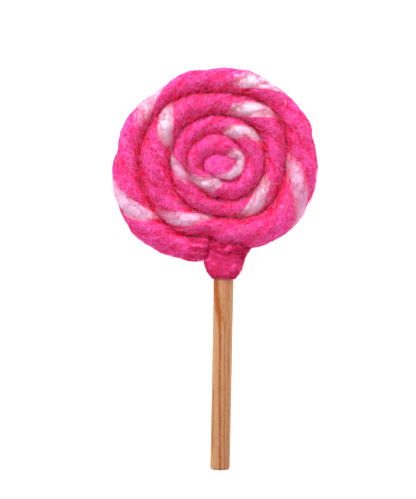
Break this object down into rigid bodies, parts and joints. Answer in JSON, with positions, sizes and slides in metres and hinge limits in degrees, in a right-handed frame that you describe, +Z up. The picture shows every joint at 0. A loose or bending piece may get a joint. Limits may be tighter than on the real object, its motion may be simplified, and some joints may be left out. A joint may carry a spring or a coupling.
{
  "type": "felt lollipop toy",
  "caption": "Toy lollipop of twisted wool felt: a flat spiral coil in pink with pale streaks, a felt collar and a round wooden stick, lying on its back.",
  "frame": {"origin": "on the underside of the coil, below the middle of its spiral", "axes": "+Z up from the surface it lies on, towards the side that is shown; +Y along the stick, from its bare end to the coil"},
  "size_m": [0.1026, 0.2029, 0.0155],
  "materials": {
    "pink_felt": "matt wool felt, hot pink with pale pink streaks, with loose fibres",
    "bare_wood": "unvarnished, sanded, light tan with orange-brown grain lines along it"
  },
  "bodies": {
    "root": {"coil": "pink_felt", "collar": "pink_felt", "stick": "bare_wood"}
  },
  "joints": []
}
